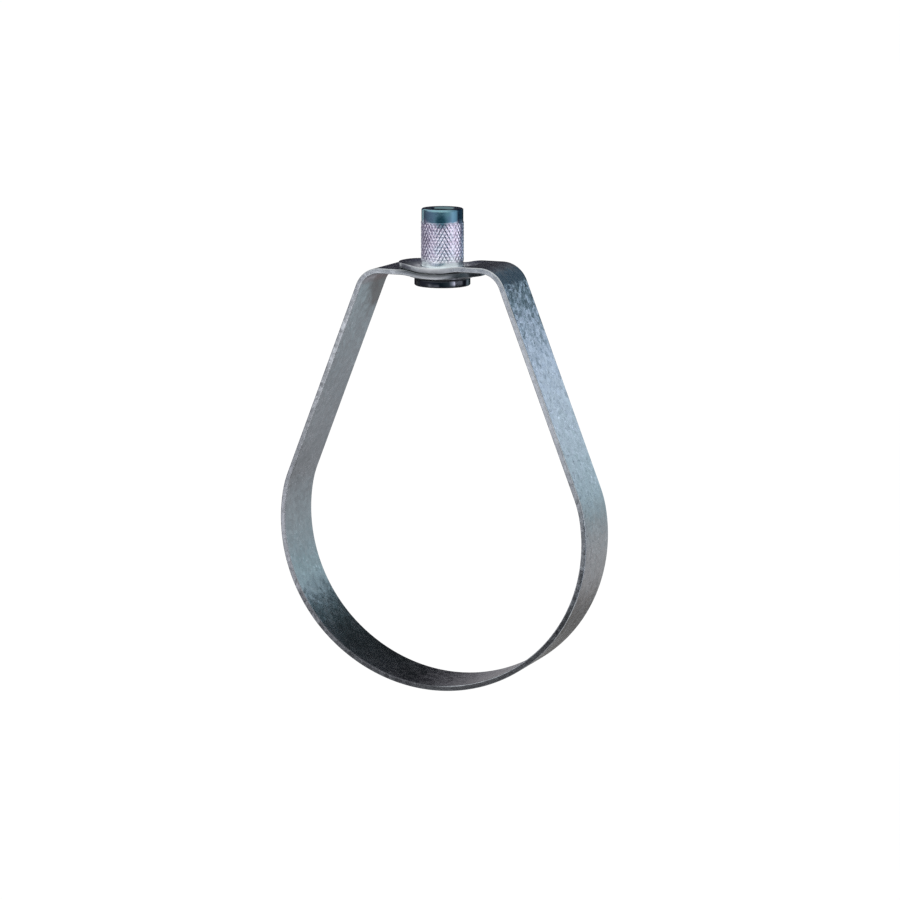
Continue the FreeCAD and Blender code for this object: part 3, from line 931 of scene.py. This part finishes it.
def flange_colour(n, spot, height, on_flange, colour):
    """Painted shade over the flange, with one painted highlight at its front."""
    colour = n.mix(on_flange, colour, FLANGE_SHADE)
    # Painted highlight at the flange's front
    near = n.span_mm(n.distance(spot, FLANGE_HIGHLIGHT_MIDDLE), *FLANGE_HIGHLIGHT_REACH)
    off_middle = n.maths("ABSOLUTE", n.maths("SUBTRACT", height, FLANGE_HIGHLIGHT_MIDDLE[2]))
    highlight = n.times(near, n.span_mm(off_middle, *FLANGE_HIGHLIGHT_HEIGHT))
    return n.mix(highlight, colour, FLANGE_HIGHLIGHT)


def knurl_colour(n, spot, height, valley, knurl, colour):
    """Plating that is darker down in the knurl, in patches, with a fine speckle."""
    patch = n.span(n.noise(spot, VALLEY_PATCH_SCALE), *VALLEY_PATCH_ENDS, 0.0, VALLEY_PATCH_SHARE)
    patch = n.times(patch, n.span_mm(height, *VALLEY_HEIGHTS, VALLEY_LOW_SHARE, 1.0))
    deep = n.times(n.span(valley, *VALLEY_ENDS), knurl)
    colour = n.mix(n.times(deep, patch), colour, VALLEY)
    speckle = n.span(n.noise(spot, SPECKLE_SCALE), *SPECKLE_ENDS, 0.0, SPECKLE_SHARE)
    return n.mix(n.times(speckle, knurl), colour, SPECKLE)


def zinc_plate():
    material, n = new_material("zinc_plated_nut")
    spot = n.spot()
    across, _, height = n.split(spot)
    valley, knurl, bore = n.split(n.place())
    on_flange = n.span_mm(height, *FLANGE_HEIGHTS)

    colour = chromate(n, spot, across, height)
    colour = flange_colour(n, spot, height, on_flange, colour)
    colour = knurl_colour(n, spot, height, valley, knurl, colour)
    # Painted shade inside the threaded bore
    colour = n.mix(bore, colour, BORE_SHADE)
    rough = n.maths("MULTIPLY_ADD", n.noise(spot, NUT_ROUGH_SCALE), NUT_ROUGH_SPREAD, NUT_ROUGH_LOW)
    rough = n.maths("MULTIPLY_ADD", on_flange, FLANGE_GLOSS, rough)
    lines = n.noise(n.stretch(spot, LATHE_STRETCH), 1.0, 1.0)
    n.metal(colour, rough, n.add("ShaderNodeBump", {**LATHE_BUMP, "Height": lines}))
    return material


band = make_band()
band.data.materials.append(galvanised())
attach(band, "band")
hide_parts("band")

nut = make_nut()
nut.data.materials.append(zinc_plate())
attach(nut, "swivel_nut")
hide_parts("swivel_nut")


# The studio. Its cards are stage pieces that are only seen in reflections.

CARD_SIDES = 64


def emission_material(name, build):
    """A material that glows in the colour that build makes."""
    material, n = new_material(name)
    colour = build(n)
    glow = n.add("ShaderNodeEmission", {"Color": colour, "Strength": 1.0})
    n.add("ShaderNodeOutputMaterial", {"Surface": glow.outputs[0]})
    return material


def hide_from_camera(piece):
    piece.visible_camera = False
    piece.visible_diffuse = False
    piece.visible_shadow = False
    piece.visible_transmission = False
    return piece


def round_card(name, centre, radius, facing, material):
    mesh = bpy.data.meshes.new(name)
    rim = []
    for angle in spread(0, TAU, CARD_SIDES)[:-1]:
        rim.append((radius * math.cos(angle), radius * math.sin(angle), 0))
    mesh.from_pydata(rim, [], [tuple(range(CARD_SIDES))])
    mesh.materials.append(material)
    piece = add_piece(name, mesh)
    piece.rotation_euler = Vector(facing).to_track_quat("Z", "Y").to_euler()
    piece.location = centre
    return hide_from_camera(piece)


def wheel(n, angle, stops):
    """Colour by direction; stops are (degrees, colour) from -180 to 180."""
    share = n.span(angle, -math.pi, math.pi)
    return n.ramp(share, [((degrees + 180) / 360, colour) for degrees, colour in stops])


# Directions are degrees round the pipe's axis, from +X towards +Z.
INNER_STOPS = [
    (-180, (0.08, 0.075, 0.085)),
    (-164, (0.26, 0.25, 0.27)),
    (-140, (0.42, 0.40, 0.43)),
    (-90, (0.36, 0.37, 0.39)),
    (-62, (0.37, 0.40, 0.43)),
    (-40, (0.44, 0.50, 0.53)),
    (-6, (0.42, 0.52, 0.57)),
    (14, (0.46, 0.62, 0.66)),
    (28, (0.34, 0.45, 0.51)),
    (44, (0.075, 0.12, 0.135)),
    (68, (0.034, 0.048, 0.053)),
    (95, (0.013, 0.017, 0.019)),
    (155, (0.013, 0.015, 0.017)),
    (170, (0.035, 0.032, 0.038)),
    (180, (0.08, 0.075, 0.085)),
]
OUTER_STOPS = [
    (-180, (0.10, 0.09, 0.11)),
    (-130, (0.36, 0.34, 0.33)),
    (-105, (0.145, 0.134, 0.122)),
    (-72, (0.132, 0.122, 0.113)),
    (-56, (0.26, 0.24, 0.23)),
    (-44, (0.48, 0.46, 0.46)),
    (-20, (0.52, 0.52, 0.53)),
    (-4, (0.48, 0.57, 0.61)),
    (14, (0.62, 0.80, 0.90)),
    (27, (0.98, 1.15, 1.33)),
    (38, (0.90, 1.08, 1.36)),
    (44, (0.30, 0.46, 0.56)),
    (49, (0.04, 0.09, 0.11)),
    (66, (0.045, 0.065, 0.085)),
    (90, (0.15, 0.17, 0.19)),
    (112, (0.045, 0.045, 0.055)),
    (150, (0.035, 0.032, 0.042)),
    (180, (0.10, 0.09, 0.11)),
]
SIDE_GLOOM = (0.04, 0.04, 0.08, 1)
RIM_NEAR = 0.12
RIM_FAR = 0.15
GLOOM_NEAR = 0.22
GLOOM_FAR = 0.24
BACK_DISTANCE = 0.25
BACK_RADIUS = 0.50


def back_colour(n):
    spot = n.spot()
    x, y, _ = n.split(spot)
    angle = n.maths("ARCTAN2", y, x)
    reach = n.length(spot)
    rings = n.mix(n.span(reach, RIM_NEAR, RIM_FAR),
                  wheel(n, angle, INNER_STOPS), wheel(n, angle, OUTER_STOPS))
    return n.mix(n.span(reach, GLOOM_NEAR, GLOOM_FAR), rings, SIDE_GLOOM)


round_card("back_card", (0, BACK_DISTANCE, 0.0), BACK_RADIUS, (0, -1, 0),
           emission_material("back_card", back_colour))

# A small dark card beside the nut, behind and to the right
NUT_CARD_MIDDLE = (0.043, 0.052, 0.126)
NUT_CARD_RADIUS = 0.027
NUT_CARD_FACING = (-0.63, -0.777, 0)
NUT_CARD_COLOUR = (0.075, 0.12, 0.165, 1)


def nut_card_colour(_):
    return NUT_CARD_COLOUR


round_card("nut_card", NUT_CARD_MIDDLE, NUT_CARD_RADIUS, NUT_CARD_FACING,
           emission_material("nut_card", nut_card_colour))

# Directions are degrees from -Y towards +X.
RING_STOPS = [
    (-108, (0.60, 0.60, 0.64)),
    (-98, (0.08, 0.08, 0.11)),
    (-78, (0.21, 0.20, 0.25)),
    (-46, (0.26, 0.26, 0.34)),
    (-15, (0.22, 0.26, 0.34)),
    (4, (0.10, 0.15, 0.20)),
    (18, (0.06, 0.12, 0.16)),
    (41, (0.22, 0.33, 0.37)),
    (66, (0.62, 0.69, 0.76)),
    (84, (1.60, 1.58, 1.68)),
    (103, (1.35, 1.33, 1.42)),
    (122, (0.18, 0.18, 0.23)),
    (180, (0.04, 0.04, 0.08)),
]
RING_ENDS = (-108, 135)
RING_STEPS = 81
RING_RADIUS = 0.75
RING_LOW = -0.50
RING_HIGH = 0.10
RING_DUSK_HIGH = -0.07
RING_DUSK_LOW = -0.14
RING_DUSK = (0.05, 0.05, 0.07, 1)
RING_DUSK_SIDE = (math.radians(42), math.radians(66))
RING_DUSK_SHARES = (0.8, 0.25)
RING_SIDE_HIGH = 0.60
RING_SIDE_STARTS = (-62, 104)
RING_SIDE_RISE = 16


def ring_colour(n):
    x, y, z = n.split(n.spot())
    direction = n.maths("ARCTAN2", x, n.times(y, -1.0))
    dusk = n.span(direction, *RING_DUSK_SIDE, *RING_DUSK_SHARES)
    low = n.times(n.span(z, RING_DUSK_HIGH, RING_DUSK_LOW), dusk)
    return n.mix(low, wheel(n, direction, RING_STOPS), RING_DUSK)


def ring_card():
    """A low curved card round the front and sides, seen only in reflections."""
    points = []
    for degrees in spread(*RING_ENDS, RING_STEPS):
        x = RING_RADIUS * math.sin(math.radians(degrees))
        y = -RING_RADIUS * math.cos(math.radians(degrees))
        lift = (smooth(RING_SIDE_STARTS[0], RING_SIDE_STARTS[0] - RING_SIDE_RISE, degrees)
                + smooth(RING_SIDE_STARTS[1], RING_SIDE_STARTS[1] + RING_SIDE_RISE, degrees))
        points += [(x, y, RING_LOW), (x, y, RING_HIGH + (RING_SIDE_HIGH - RING_HIGH) * lift)]
    mesh = bpy.data.meshes.new("ring_card")
    mesh.from_pydata(points, [], [(k, k + 2, k + 3, k + 1) for k in range(0, len(points) - 2, 2)])
    mesh.materials.append(emission_material("ring_card", ring_colour))
    return hide_from_camera(add_piece("ring_card", mesh))


ring_card()

# Directions are degrees from +X towards +Z, round the place where the near slit edges mirror the card
EDGE_STOPS = [
    (-180, (0.95, 0.94, 1.02)),
    (-172, (1.08, 1.06, 1.14)),
    (-163, (1.22, 1.20, 1.28)),
    (-153, (0.38, 0.37, 0.41)),
    (-144, (0.17, 0.16, 0.18)),
    (-134, (0.025, 0.025, 0.028)),
    (-104, (0.04, 0.038, 0.042)),
    (-84, (0.06, 0.056, 0.062)),
    (-76, (0.38, 0.37, 0.38)),
    (-62, (0.14, 0.13, 0.14)),
    (-52, (0.015, 0.015, 0.015)),
    (-26, (0.02, 0.02, 0.02)),
    (-8, (0.045, 0.045, 0.05)),
    (1, (0.46, 0.47, 0.49)),
    (22, (0.82, 0.82, 0.88)),
    (36, (0.66, 0.66, 0.72)),
    (48, (1.10, 1.10, 1.18)),
    (64, (1.10, 1.10, 1.18)),
    (72, (0.62, 0.62, 0.70)),
    (82, (0.94, 0.96, 1.00)),
    (98, (1.45, 1.44, 1.50)),
    (106, (1.90, 1.88, 1.96)),
    (116, (0.90, 0.88, 0.93)),
    (123, (0.48, 0.48, 0.51)),
    (142, (0.38, 0.38, 0.40)),
    (163, (0.22, 0.22, 0.23)),
    (171, (0.70, 0.69, 0.74)),
    (180, (0.95, 0.94, 1.02)),
]
EDGE_CARD_MIDDLE = (-0.068, -0.16, -0.0355)
EDGE_CARD_LEFT = -0.165
EDGE_CARD_FAR_LEFT = -0.205
EDGE_CARD_FAR_HIGH = 0.02
EDGE_CARD_RIGHT = 0.03
EDGE_CARD_LOW = -0.14
EDGE_CARD_HIGH = 0.066


def edge_colour(n):
    x, _, z = n.split(n.spot())
    return wheel(n, n.maths("ARCTAN2", z, x), EDGE_STOPS)


def flat_card(name, middle, corners, material):
    """A flat studio card; corners are measured from the middle."""
    mesh = bpy.data.meshes.new(name)
    mesh.from_pydata(corners, [], [tuple(range(len(corners)))])
    mesh.materials.append(material)
    piece = hide_from_camera(add_piece(name, mesh))
    piece.location = middle


def edge_card():
    """A small near card in front, low and to the left, that the near slit edges mirror."""
    middle = Vector(EDGE_CARD_MIDDLE)
    corners = []
    for x, z in ((EDGE_CARD_FAR_LEFT, EDGE_CARD_LOW), (EDGE_CARD_RIGHT, EDGE_CARD_LOW),
                 (EDGE_CARD_RIGHT, EDGE_CARD_HIGH), (EDGE_CARD_LEFT, EDGE_CARD_HIGH),
                 (EDGE_CARD_FAR_LEFT, EDGE_CARD_FAR_HIGH)):
        corners.append((x - middle.x, 0.0, z - middle.z))
    flat_card("edge_card", middle, corners, emission_material("edge_card", edge_colour))


# A grey card under the ring, paler at its sides and back, keeps the rounded lower corners from flashing
UNDER_CARD_MIDDLE = (-0.05, -0.02, -0.12)
UNDER_CARD_HALF = (0.20, 0.14)
UNDER_CARD_FADE = (0.12, 0.09)
UNDER_CARD_GREY = (0.30, 0.30, 0.31, 1)
UNDER_CARD_PALE = (0.95, 0.95, 0.96, 1)
UNDER_CARD_FRONT = (-0.02, -0.09)
UNDER_CARD_DARK = (0.07, 0.07, 0.075, 1)


def under_colour(n):
    x, y, _ = n.split(n.spot())
    across = n.span(n.maths("ABSOLUTE", x), UNDER_CARD_FADE[0], UNDER_CARD_HALF[0])
    along = n.span(y, UNDER_CARD_FADE[1], UNDER_CARD_HALF[1])
    front = n.span(y, *UNDER_CARD_FRONT)
    grey = n.mix(front, UNDER_CARD_GREY, UNDER_CARD_DARK)
    return n.mix(n.maths("MAXIMUM", across, along), grey, UNDER_CARD_PALE)


def under_card():
    across, along = UNDER_CARD_HALF
    corners = [(-across, -along, 0), (across, -along, 0), (across, along, 0), (-across, along, 0)]
    flat_card("under_card", UNDER_CARD_MIDDLE, corners, emission_material("under_card", under_colour))


under_card()
edge_card()

FLOOR_HALF = 30.0
FLOOR_DROP = -0.9
FLOOR_PAINT = 0.93
FLOOR_SEEN = 1.03


def make_world():
    world = bpy.data.worlds.new("studio")
    bpy.context.scene.world = world
    world.use_nodes = True
    n = Nodes(world.node_tree)
    room = n.add("ShaderNodeBackground", {"Color": (1, 1, 1, 1), "Strength": 1.0})
    n.add("ShaderNodeOutputWorld", {"Surface": room.outputs[0]})


def floor_paint():
    """Pale paint that keeps the part's shadow and is lifted to white where it is seen."""
    material, n = new_material("pale_floor")
    light = n.add("ShaderNodeLightPath")
    seen = n.maths("MAXIMUM", light.outputs["Is Camera Ray"], light.outputs["Is Glossy Ray"])
    seen = n.maths("MAXIMUM", seen, light.outputs["Is Transmission Ray"])
    paint = n.add("ShaderNodeBsdfDiffuse", {"Color": (FLOOR_PAINT, FLOOR_PAINT, FLOOR_PAINT, 1)})
    lift = n.add("ShaderNodeEmission", {"Strength": n.times(seen, FLOOR_SEEN - FLOOR_PAINT)})
    both = n.add("ShaderNodeAddShader", {0: paint.outputs[0], 1: lift.outputs[0]})
    n.add("ShaderNodeOutputMaterial", {"Surface": both.outputs[0]})
    return material


def make_floor():
    corners = []
    for x, y in ((-1, -1), (1, -1), (1, 1), (-1, 1)):
        corners.append((x * FLOOR_HALF, y * FLOOR_HALF, FLOOR_DROP))
    mesh = bpy.data.meshes.new("floor")
    mesh.from_pydata(corners, [], [(0, 1, 2, 3)])
    mesh.materials.append(floor_paint())
    return add_piece("floor", mesh)


make_world()
floor = make_floor()

# The camera. Turn, rise and roll are radians, and the lens and the sensor are millimetres.
VIEW_TURN = 0.4219
VIEW_RISE = 0.1866
VIEW_DISTANCE = 1.16507
VIEW_ACROSS = 0.002872
VIEW_UP = 0.02564
VIEW_ROLL = 0.0008
LENS = 124.02
SENSOR_WIDTH = 36.0
CLIP_START = 0.05
CLIP_END = 200.0


def make_camera():
    right = Vector((math.cos(VIEW_TURN), math.sin(VIEW_TURN), 0))
    back_way = Vector((math.sin(VIEW_TURN) * math.cos(VIEW_RISE),
                       -math.cos(VIEW_TURN) * math.cos(VIEW_RISE), math.sin(VIEW_RISE)))
    up = back_way.cross(right)
    place = right * VIEW_ACROSS + up * VIEW_UP + back_way * VIEW_DISTANCE
    rolled_right = right * math.cos(VIEW_ROLL) + up * math.sin(VIEW_ROLL)
    rolled_up = up * math.cos(VIEW_ROLL) - right * math.sin(VIEW_ROLL)
    camera_data = bpy.data.cameras.new("camera")
    camera_data.lens = LENS
    camera_data.sensor_width = SENSOR_WIDTH
    camera_data.clip_start = CLIP_START
    camera_data.clip_end = CLIP_END
    camera = add_piece("camera", camera_data)
    turn = Matrix((rolled_right, rolled_up, back_way)).transposed().to_4x4()
    camera.matrix_world = Matrix.Translation(place) @ turn
    return camera


bpy.context.scene.camera = make_camera()

bpy.context.scene.view_settings.view_transform = "Standard"
